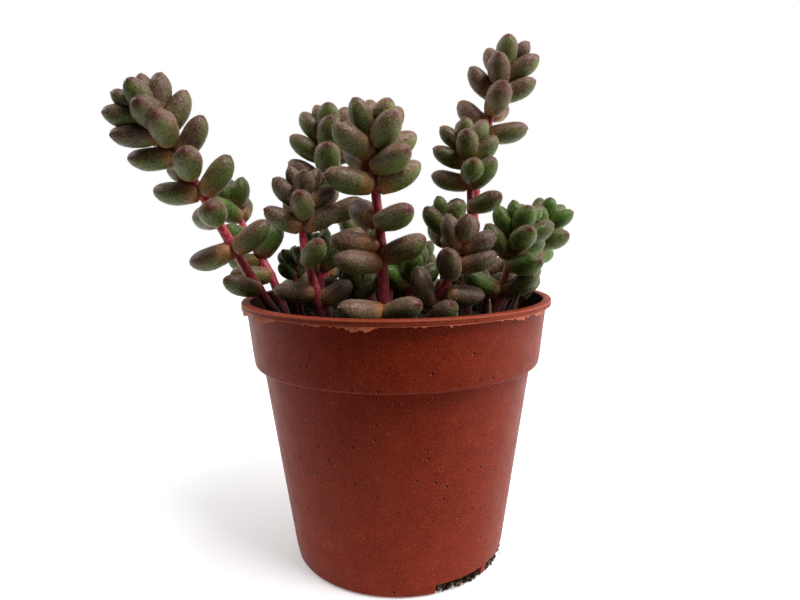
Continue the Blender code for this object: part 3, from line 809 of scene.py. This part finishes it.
def closed_faces(rings, sides, first=0):
    """Quads between rings, and triangles from both end rings to the two middle points after them."""
    faces = grid_faces(rings, sides, first)
    middle = first + rings * sides
    last = middle - sides
    turns = [(i, (i + 1) % sides) for i in range(sides)]
    faces += [(first + j, first + i, middle) for i, j in turns]
    return faces + [(last + i, last + j, middle + 1) for i, j in turns]


def tube(line, radii, sides):
    """Points and faces of a closed round tube along a line."""
    line = [np.asarray(p, float) for p in line]
    side = np.array(TUBE_SIDE)
    points = []
    for i, place in enumerate(line):
        ahead = line[min(i + 1, len(line) - 1)] - line[max(i - 1, 0)]
        ahead /= np.linalg.norm(ahead)
        side = side - ahead * side.dot(ahead)
        side /= np.linalg.norm(side)
        back = np.cross(ahead, side)
        for k in range(sides):
            a = 2 * math.pi * k / sides
            points.append(place + radii[i] * (side * math.cos(a) + back * math.sin(a)))
    return points + [line[0], line[-1]], closed_faces(len(line), sides)


def joined(shapes):
    """Points and faces of several shapes as one."""
    points, faces = [], []
    for more, over in shapes:
        faces += [tuple(i + len(points) for i in face) for face in over]
        points += more
    return points, faces


def random_seed(chance):
    """A place in the noise where no other shape reads it."""
    return Vector([chance.uniform(0, NOISE_SPAN) for _ in range(3)])


def layered_noise(place, size, fading):
    """Noise with finer noise over it, which fades from layer to layer."""
    return noise.fractal(Vector(place) / size, fading, LAYER_RATIO, LAYERS)


def leaf_surface(leaf, chance):
    """Rings of points over a leaf, then its root and its tip, and how far along it the rings are."""
    shares = 1 - (1 - np.linspace(0, LAST_RING, LEAF_RINGS)) ** RING_CROWDING
    sway = chance.uniform(-LEAF_SWAY, LEAF_SWAY) * leaf.length
    plump = chance.uniform(*LEAF_PLUMPNESS)
    seed = random_seed(chance)
    rings = []
    for t in shares:
        half = leaf.width / 2 * profile(t) * plump
        middle = leaf_middle(leaf, t) + leaf.side * sway * t * t
        if t > LEAF_WIDEST:
            middle = middle + leaf.along * POINT_LENGTH * math.exp(-((half / POINT_RADIUS) ** 2))
        for i in range(LEAF_SIDES):
            a = 2 * math.pi * (i + 0.5) / LEAF_SIDES
            rise = LEAF_THICKNESS * math.sin(a) * (LEAF_FLAT_TOP if math.sin(a) > 0 else 1)
            spoke = leaf.side * math.cos(a) + leaf.up * rise
            dent = 1 + DENT_DEPTH * noise.noise(Vector(middle + spoke * half) / DENT_SIZE + seed)
            rings.append(middle + spoke * half * dent)
    root = leaf_middle(leaf, 0) - leaf.along * ROOT_LENGTH
    tip = leaf_middle(leaf, 1) + leaf.side * sway + leaf.along * POINT_LENGTH
    return np.array(rings + [root, tip]), shares


def leaf_values(points, shares, flush, tone):
    """What the leaf's material reads at each point."""
    count = len(points)
    along = np.append(np.repeat(shares, LEAF_SIDES), (0, 1))
    grid = points[:-2].reshape(LEAF_RINGS, LEAF_SIDES, 3)
    out = grid - grid.mean(axis=1, keepdims=True)
    out /= np.linalg.norm(out, axis=2, keepdims=True) + TINY
    sky = np.append(out[:, :, 2].ravel(), (0, 1)) * 0.5 + 0.5
    top = np.sin(2 * np.pi * (np.arange(LEAF_SIDES) + 0.5) / LEAF_SIDES)
    keel = np.append(np.tile(np.clip(top, 0, 1) ** STREAK_NARROWNESS, LEAF_RINGS), (0, 1))
    point = TIP_RED * np.clip((along - TIP_START) / TIP_FADE, 0, 1)
    streak = STREAK_RED * keel * np.clip((along - STREAK_START) / STREAK_FADE, 0, 1)
    return {
        "along": along, "sun": sky, "flush": np.full(count, flush), "tone": np.full(count, tone),
        "tip": np.maximum(point, streak),
    }


def hairs_on(grid, density, chance):
    """Short pointed hairs that stand on rings of points, four points each."""
    ahead = np.roll(grid, -1, axis=1)
    a, b, c, d = (p.reshape(-1, 3) for p in (grid[:-1], ahead[:-1], ahead[1:], grid[1:]))
    across = np.cross(c - a, d - b)
    area = np.linalg.norm(across, axis=1) / 2
    count = int(area.sum() * density)
    picked = chance.choice(len(area), count, p=area / area.sum())
    u, v = chance.random((2, count, 1))
    low = a[picked] * (1 - u) + b[picked] * u
    high = d[picked] * (1 - u) + c[picked] * u
    base = low * (1 - v) + high * v
    out = across[picked] / (2 * area[picked, None])
    onward = (high - low) / (np.linalg.norm(high - low, axis=1, keepdims=True) + TINY)
    lean = out + onward * HAIR_LEAN + chance.normal(0, HAIR_SPREAD, (count, 3))
    lean /= np.linalg.norm(lean, axis=1, keepdims=True)
    side = np.cross(lean, onward)
    side /= np.linalg.norm(side, axis=1, keepdims=True)
    back = np.cross(lean, side)
    length = HAIR_LENGTH * chance.uniform(*HAIR_UNEVEN, (count, 1))
    corners = [
        base + HAIR_WIDTH / 2 * (side * math.cos(turn) + back * math.sin(turn)) - out * HAIR_WIDTH / 2
        for turn in (0, 2 * math.pi / 3, 4 * math.pi / 3)
    ]
    return np.stack(corners + [base + lean * length], axis=1).reshape(-1, 3)


def hair_faces(count):
    """The four faces of each hair."""
    faces = np.array(((0, 1, 3), (1, 2, 3), (2, 0, 3), (0, 2, 1)))
    return (faces[None] + 4 * np.arange(count)[:, None, None]).reshape(-1, 3)


def make_leaves(name, leaves, stalk, flesh, down):
    """A stem's leaves in one piece, and the down on them and on the stalk in another."""
    chance = random.Random(name + " leaves")
    fine = np.random.default_rng(sum(map(ord, name)))
    points, faces, values = [], [], {}
    hairs = [hairs_on(stalk, STALK_DOWN_DENSITY, fine)]
    for leaf in leaves:
        surface, shares = leaf_surface(leaf, chance)
        young = YOUNG_FLUSH * math.exp(-YOUTH_FADE * leaf.age)
        flush = STEMS[name].flush + chance.uniform(-FLUSH_SPREAD, FLUSH_SPREAD) + young
        tone = STEMS[name].tone + chance.uniform(-TONE_SPREAD, TONE_SPREAD)
        for key, numbers in leaf_values(surface, shares, flush, tone).items():
            values.setdefault(key, []).append(numbers)
        faces += closed_faces(LEAF_RINGS, LEAF_SIDES, sum(map(len, points)))
        points.append(surface)
        hairs.append(hairs_on(surface[:-2].reshape(LEAF_RINGS, LEAF_SIDES, 3), DOWN_DENSITY, fine))
    values = {key: np.concatenate(parts) for key, parts in values.items()}
    make_piece(name + "_leaves", np.concatenate(points), faces, flesh, "leaf", name, values)
    hairs = np.concatenate(hairs)
    make_piece(name + "_down", hairs, hair_faces(len(hairs) // 4), down, "leaf")


def make_stalk(name, stem, leaves, skin):
    """The stalk, a little swollen where leaves stand. Gives its rings above the peat."""
    line = stem_line(stem, STALK_STEP)
    roots = np.array([leaf.root for leaf in leaves])
    radii = []
    for i, place in enumerate(line):
        near = np.linalg.norm(roots - place, axis=1).min()
        knot = STALK_KNOT * math.exp(-((near / STALK_KNOT_SIZE) ** 2))
        lumps = STALK_LUMPS * noise.noise(Vector(place) / STALK_LUMP_SIZE)
        radii.append(stem_radius(stem, i / (len(line) - 1)) * (1 + knot + lumps))
    points, faces = tube(line, radii, STALK_SIDES)
    heights = [(p[2] - SOIL_TOP) / STALK_COLOUR_SPAN for p in points]
    values = {"height": heights, "orange": [STALK_ORANGE.get(name, 0.0)] * len(points)}
    make_piece(name + "_stalk", points, faces, skin, "stem", None, values)
    grid = np.array(points[:-2]).reshape(-1, STALK_SIDES, 3)
    return grid[grid[:, 0, 2] > SOIL_TOP + SOIL_ROUGHNESS]


def arc(radius, z, size, start, stop):
    """Points round a corner whose middle is at radius and z."""
    turns = np.radians(np.linspace(start, stop, ARC_STEPS))
    return [(radius + size * math.cos(a), z + size * math.sin(a)) for a in turns]


def body_inside(z):
    """The inside radius of the tapered body at a height."""
    return BODY_FOOT_RADIUS + (BODY_TOP_RADIUS - BODY_FOOT_RADIUS) * z / COLLAR_FOOT_Z - WALL


def collar_inside(z):
    """The inside radius of the collar at a height."""
    share = (z - COLLAR_FOOT_Z) / (POT_HEIGHT - COLLAR_FOOT_Z)
    return COLLAR_FOOT_RADIUS + (COLLAR_TOP_RADIUS - COLLAR_FOOT_RADIUS) * share - WALL


def wall(foot, top, rings):
    """Points up a tapered wall, between two points of the section."""
    shares = np.linspace(*rings)
    return [(foot[0] + (top[0] - foot[0]) * s, foot[1] + (top[1] - foot[1]) * s) for s in shares]


def pot_outline():
    """The pot's section from the middle of its underside, up its outer side and down its inner."""
    lip_foot = POT_HEIGHT - LIP_HEIGHT
    lip = LIP_RADIUS - LIP_ROUND
    collar_top = (COLLAR_TOP_RADIUS, lip_foot)
    body_top = (BODY_TOP_RADIUS, COLLAR_FOOT_Z)
    inner_top = collar_inside(POT_HEIGHT) + LIP_INNER_ROUND
    return [
        (FLOOR_RING_RADIUS, 0),
        (BODY_FOOT_RADIUS - 2 * FOOT_ROUND, 0),
        *arc(BODY_FOOT_RADIUS - FOOT_ROUND, FOOT_ROUND, FOOT_ROUND, -90, 0),
        *wall((BODY_FOOT_RADIUS, 0), body_top, BODY_RINGS),
        body_top,
        *arc(COLLAR_FOOT_RADIUS - COLLAR_ROUND, COLLAR_FOOT_Z + COLLAR_ROUND, COLLAR_ROUND, -90, 0),
        *wall((COLLAR_FOOT_RADIUS, COLLAR_FOOT_Z), collar_top, COLLAR_RINGS),
        collar_top,
        *arc(lip, lip_foot + LIP_ROUND, LIP_ROUND, -90, 0),
        (LIP_RADIUS - LIP_GROOVE, (lip_foot + POT_HEIGHT) / 2),
        *arc(lip, POT_HEIGHT - LIP_ROUND, LIP_ROUND, 0, 90),
        *arc(inner_top, POT_HEIGHT - LIP_INNER_ROUND, LIP_INNER_ROUND, 90, 180),
        (collar_inside(INNER_STEP_Z), INNER_STEP_Z),
        (body_inside(COLLAR_FOOT_Z), INNER_STEP_Z),
        (body_inside(FLOOR), FLOOR),
        (FLOOR_RING_RADIUS, FLOOR),
    ]


def around(angle, radius, z):
    """A point at an angle from the front towards +X, in degrees, round the pot's axis."""
    a = math.radians(angle)
    return (radius * math.sin(a), -radius * math.cos(a), z)


def curved_block(start, stop, steps, inner, outer, bottom):
    """A block round the pot's axis, as turn, radius and height of its corners, and its faces."""
    corners = ((inner, NOTCH_HEIGHT), (outer, NOTCH_HEIGHT), (outer, bottom), (inner, bottom))
    places = [(turn, radius, z) for turn in np.linspace(start, stop, steps) for radius, z in corners]
    last = len(places) - 4
    return places, grid_faces(steps, 4) + [(3, 2, 1, 0), (last, last + 1, last + 2, last + 3)]


def cut_notches(pot):
    """Cuts the drainage notches with blocks that follow the wall."""
    sizes = (NOTCH_STEPS, NOTCH_INNER_RADIUS, LIP_RADIUS, CUT_BOTTOM)
    places, faces = joined([curved_block(start, stop, *sizes) for start, stop in NOTCH_ARCS])
    mesh = bpy.data.meshes.new("notches")
    mesh.from_pydata([Vector(around(*place)) * MM for place in places], [], faces)
    blocks = add_object("notches", mesh)
    cut = pot.modifiers.new("cut", "BOOLEAN")
    cut.operation = "DIFFERENCE"
    cut.object = blocks
    depsgraph = bpy.context.evaluated_depsgraph_get()
    result = bpy.data.meshes.new_from_object(pot.evaluated_get(depsgraph))
    pot.modifiers.clear()
    pot.data = result
    bpy.data.objects.remove(blocks)


def wear_and_highlight(radius, z):
    """How pale the pot is painted at a radius and height, only on the lip's outer side: wear, and a
    painted highlight along the lip's rounded top edge.
    """
    if z < POT_HEIGHT - LIP_HEIGHT - SLACK or radius < COLLAR_TOP_RADIUS:
        return 0.0
    off_line = math.hypot(LIP_RADIUS - radius, z - (POT_HEIGHT - LINE_BELOW_TOP))
    return LIP_WEAR + LINE_HIGHLIGHT * max(0.0, 1 - off_line / LINE_WIDTH)


def make_pot(plastic, stain_and_shade):
    """The thin-walled pot, turned from its section and notched at its foot."""
    outline = pot_outline()
    sides = POT_SIDES
    points = [around(360 * i / sides, r, z) for r, z in outline for i in range(sides)]
    points += [(0, 0, 0), (0, 0, FLOOR)]
    faces = closed_faces(len(outline), sides)
    edge = [wear_and_highlight(math.hypot(p[0], p[1]), p[2]) for p in points]
    pot = make_piece("pot_wall", points, faces, plastic, "pot", "pot", {"edge": edge})
    first_inner = (outline.index((collar_inside(INNER_STEP_Z), INNER_STEP_Z)) - 1) * sides
    # The inside gets the nearly black material: peat stain and painted shade
    pot.data.materials.append(stain_and_shade)
    pot.data.polygons.foreach_set("material_index", [int(min(f) >= first_inner) for f in faces])
    cut_notches(pot)
    pot.data.set_sharp_from_angle(angle=math.radians(SHARP_ANGLE))


def make_flash(plastic):
    """The ragged skirt of flash under the lip, torn off here and there."""
    top = POT_HEIGHT - LIP_HEIGHT + FLASH_OVERLAP
    outer = LIP_RADIUS - FLASH_INSET
    broad_z, fine_z, curl_z = FLASH_SLICES
    points = []
    for i in range(FLASH_COLUMNS):
        angle = 360 * i / FLASH_COLUMNS
        x, y, _ = around(angle, outer, 0)
        broad = noise.noise(Vector((x, y, broad_z)) / BROAD_TEAR_SIZE) + FLASH_COVER
        fine = FINE_TEAR_SHARE * layered_noise((x, y, fine_z), FINE_TEAR_SIZE, FINE_TEAR_FADING)
        drop = FLASH_LEAST_DROP + FLASH_DROP * max(0.0, broad + fine)
        waves = noise.noise(Vector((x, y, curl_z)) / FLASH_CURL_SIZE)
        lower = outer + (FLASH_CURL + FLASH_CURL_SPREAD * waves) * drop
        points += [
            around(angle, outer, top),
            around(angle, lower, top - drop),
            around(angle, lower - FLASH_THICKNESS, top - drop),
            around(angle, outer - FLASH_THICKNESS, top),
        ]
    last = len(points) - 4
    faces = grid_faces(FLASH_COLUMNS, 4)
    faces += [(last + k, last + (k + 1) % 4, (k + 1) % 4, k) for k in range(4)]
    edge = FLASH_WEAR * FLASH_COLUMNS
    flash = make_piece("lip_flash", points, faces, plastic, "pot", None, {"edge": edge})
    flash.data.set_sharp_from_angle(angle=math.radians(SHARP_ANGLE))


def soil_height(x, y):
    """The height of the gently uneven soil."""
    turn = 2 * math.pi / SOIL_BUMP_WIDTH
    return SOIL_TOP + SOIL_ROUGHNESS * math.sin(turn * x) * math.cos(turn * y)


def lump(chance, size):
    """Points of one crumb: a small ball pulled out of shape."""
    seed = random_seed(chance)
    squash = [chance.uniform(*span) for span in CRUMB_SQUASH]
    points = []
    for p in BALL_POINTS:
        reach = size * (1 + CRUMB_WARP * noise.noise(p * CRUMB_WARP_RATE + seed))
        points.append(np.array(p) * reach * squash)
    return np.array(points)


def ball_shape(detail):
    """Points and faces of a ball of triangles."""
    bm = bmesh.new()
    bmesh.ops.create_icosphere(bm, subdivisions=detail, radius=1)
    points = [v.co.copy() for v in bm.verts]
    faces = np.array([[v.index for v in f.verts] for f in bm.faces])
    bm.free()
    return points, faces


BALL_POINTS, BALL_FACES = ball_shape(CRUMB_DETAIL)


def make_crumbs(name, crumbs, chance, look):
    """A piece of crumbs, each given by its place and size."""
    points, faces, tones = [], [], []
    for place, size in crumbs:
        faces.append(BALL_FACES + len(points) * len(BALL_POINTS))
        points.append(lump(chance, size) + place)
        tones.append(np.full(len(BALL_POINTS), chance.random()))
    points, tones = np.concatenate(points), np.concatenate(tones)
    points[:, 2] = np.maximum(points[:, 2], LOWEST_CRUMB)
    make_piece(name, points, np.concatenate(faces), look, "soil", None, {"tone": tones})


def crumb_size(kind, chance):
    """The size of one crumb, most often a small one."""
    return kind.least + kind.more * chance.random() ** kind.power


def soil_radius():
    """The radius of the peat's surface."""
    return collar_inside(SOIL_TOP) - GAP


def make_surface(look):
    """The rough top of the peat, closed underneath."""
    rim = soil_radius()
    rings = int(rim / PEAT_STEP)
    sides = int(2 * math.pi * rim / PEAT_STEP)
    angles = [360 * i / sides for i in range(sides)]
    points = [around(angle, rim - PEAT_TAPER, SOIL_TOP - PEAT_DEPTH) for angle in angles]
    for r in range(rings):
        for angle in angles:
            x, y, _ = around(angle, rim * (1 - r / rings), 0)
            rough = PEAT_GRAIN * layered_noise((x, y, 0), PEAT_GRAIN_SIZE, PEAT_GRAIN_FADING)
            points.append((x, y, soil_height(x, y) + rough))
    points += [(0, 0, SOIL_TOP - PEAT_DEPTH), (0, 0, soil_height(0, 0))]
    faces = closed_faces(rings + 1, sides)
    make_piece("peat", points, faces, look, "soil", "soil", {"tone": [PEAT_TONE] * len(points)})


def make_loose_crumbs(look, chance):
    """Crumbs that lie on the peat."""
    crumbs = []
    for _ in range(LOOSE_CRUMBS.count):
        radius = soil_radius() * math.sqrt(chance.random()) * LOOSE_REACH
        x, y, _ = around(chance.uniform(0, 360), radius, 0)
        size = crumb_size(LOOSE_CRUMBS, chance)
        crumbs.append(((x, y, soil_height(x, y) + size * LOOSE_LIFT), size))
    make_crumbs("peat_crumbs", crumbs, chance, look)


def make_notch_crumbs(look, chance):
    """Crumbs that show in the notches, most of them near the ground."""
    crumbs = []
    deepest = BODY_FOOT_RADIUS - CRUMB_DEPTH
    for start, stop in NOTCH_ARCS:
        for _ in range(NOTCH_CRUMBS.count):
            size = crumb_size(NOTCH_CRUMBS, chance)
            radius = chance.uniform(deepest, BODY_FOOT_RADIUS - CRUMB_INSET * size)
            room = NOTCH_HEIGHT - size * CRUMB_ROOM
            height = size + room * chance.random() ** CRUMB_SINKING
            angle = chance.uniform(start + CRUMB_MARGIN, stop - CRUMB_MARGIN)
            crumbs.append((around(angle, radius, height), size))
    make_crumbs("notch_peat", crumbs, chance, look)


def make_peat(look):
    """The peat: its rough surface, loose crumbs on it, and what shows in the notches."""
    chance = random.Random("peat")
    make_surface(look)
    make_loose_crumbs(look, chance)
    make_notch_crumbs(look, chance)


def make_plugs(look):
    """The peat that fills the drainage notches, its face rough."""
    inner, outer = NOTCH_INNER_RADIUS + GAP, body_inside(FLOOR) - GAP
    plugs = []
    for start, stop in NOTCH_ARCS:
        places, faces = curved_block(
            start + PLUG_MARGIN, stop - PLUG_MARGIN, PLUG_STEPS, inner, outer, PLUG_BOTTOM
        )
        points = []
        for turn, radius, z in places:
            rough = PLUG_ROUGHNESS * noise.noise(Vector(around(turn, radius, z)) / PLUG_BUMP_SIZE)
            points.append(around(turn, radius + rough, z - abs(rough)))
        plugs.append((points, faces))
    points, faces = joined(plugs)
    make_piece("notch_plugs", points, faces, look, "soil", None, {"tone": [PLUG_TONE] * len(points)})


def curl(start, end, bow, steps):
    """A line from start to end that bows aside."""
    start, end, bow = (np.array(p, float) for p in (start, end, bow))
    return [start + (end - start) * t + bow * 4 * t * (1 - t) for t in np.linspace(0, 1, steps)]


def make_fibres(look):
    """Pale fibres in the peat of the notches."""
    chance = random.Random("fibres")
    fibres = []
    for start, stop in NOTCH_ARCS:
        for _ in range(FIBRE_COUNT):
            angle = chance.uniform(start + FIBRE_MARGIN, stop - FIBRE_MARGIN)
            radius = chance.uniform(BODY_FOOT_RADIUS - FIBRE_DEPTH, BODY_FOOT_RADIUS)
            low = np.array(around(angle, radius, chance.uniform(*FIBRE_START_HEIGHTS)))
            high = low + np.array([chance.uniform(-1, 1) for _ in range(3)]) * FIBRE_REACH
            high[2] = min(max(high[2], FIBRE_LOWEST), NOTCH_HEIGHT - FIBRE_HEADROOM)
            bow = [chance.uniform(-FIBRE_BOW, FIBRE_BOW) for _ in range(2)] + [FIBRE_ARCH]
            line = curl(low, high, bow, FIBRE_STEPS)
            fibres.append(tube(line, [FIBRE_RADIUS] * FIBRE_STEPS, FIBRE_SIDES))
    make_piece("notch_fibres", *joined(fibres), look, "soil")


def make_scraps(look):
    """Dried leaf scraps that stand between the stems, thin and curled."""
    swell = np.sin(np.pi * np.linspace(SCRAP_TAPER, 1 - SCRAP_TAPER, SCRAP_STEPS))
    scraps = [
        tube(curl(start, end, bow, SCRAP_STEPS), radius * swell, SCRAP_SIDES)
        for start, end, bow, radius in SCRAPS
    ]
    make_piece("dry_scraps", *joined(scraps), look, "soil")


def make_camera():
    """The camera at the photograph's viewing place."""
    lens = bpy.data.cameras.new("camera")
    lens.lens = CAMERA_LENS
    lens.sensor_width = CAMERA_SENSOR
    lens.clip_start = CAMERA_CLIP * MM
    camera = add_object("camera", lens)
    tilt = Matrix.Rotation(math.radians(90 - CAMERA_PITCH), 4, "X")
    roll = Matrix.Rotation(math.radians(-CAMERA_ROLL), 4, "Z")
    camera.matrix_world = Matrix.Translation(Vector(CAMERA_PLACE) * MM) @ tilt @ roll
    bpy.context.scene.camera = camera


def make_floor():
    """A plain white floor, which glows a little so that shadows on it stay faint."""
    look = Look("floor")
    distance = look.node("VectorMath", {0: look.place}, operation="LENGTH").outputs["Value"]
    glow = look.ramp(distance, GLOW_FROM * MM, GLOW_TO * MM, FLOOR_GLOW, FAR_FLOOR_GLOW)
    mesh = bpy.data.meshes.new("floor")
    side, front = FLOOR_SIDE * MM, FLOOR_FRONT * MM
    corners = [(-side, front, 0), (side, front, 0), (side, side, 0), (-side, side, 0)]
    mesh.from_pydata(corners, [], [(0, 1, 2, 3)])
    mesh.materials.append(
        look.set(Base_Color=FLOOR_WHITE, Roughness=0.8, Emission_Color=WHITE, Emission_Strength=glow)
    )
    floor = add_object("floor", mesh)


def make_light(name, place, size, power):
    """A soft square lamp that points at the plant."""
    lamp = bpy.data.lights.new(name, "AREA")
    lamp.size = size
    lamp.energy = power
    light = add_object(name, lamp)
    light.location = place
    aim = Vector(LAMP_AIM) - light.location
    light.rotation_euler = aim.to_track_quat("-Z", "Y").to_euler()


def make_world():
    """White surroundings, dimmer in front of the plant, as in a white corner of a room."""
    look = Look("studio", bpy.data.worlds, "Background")
    sides = {0: look.coordinates["Generated"], 1: BRIGHT_SIDE}
    facing = look.node("VectorMath", sides, operation="DOT_PRODUCT").outputs["Value"]
    light = look.ramp(facing, DARK_FACING, BRIGHT_FACING, FRONT_LIGHT, BACK_LIGHT)
    seen = look.node("LightPath").outputs["Is Camera Ray"]
    strength = look.node("Mix", {"Factor": seen, "A": light, "B": 1.0}).outputs["Result"]
    bpy.context.scene.world = look.set(Color=WHITE, Strength=strength)


def make_surroundings():
    """The camera, the world, the floor and the lamps."""
    make_camera()
    make_world()
    make_floor()
    for lamp in LAMPS:
        make_light(*lamp)
    bpy.context.scene.view_settings.view_transform = "Standard"


def make_plant():
    """All stems, each as its stalk, its leaves and its down."""
    flesh, down, skin = leaf_look(), down_look(), stalk_look()
    for name, leaves in grow().items():
        stalk = make_stalk(name, STEMS[name], leaves, skin)
        make_leaves(name, leaves, stalk, flesh, down)


def main():
    """Everything that the picture shows."""
    make_surroundings()
    plastic, peat = pot_look(), peat_look()
    make_pot(plastic, inner_look())
    make_flash(plastic)
    make_peat(peat)
    make_plugs(peat)
    make_fibres(fibre_look("peat_fibre", PEAT_FIBRE))
    make_scraps(fibre_look("dry_leaf", DRY_LEAF))
    make_plant()


main()
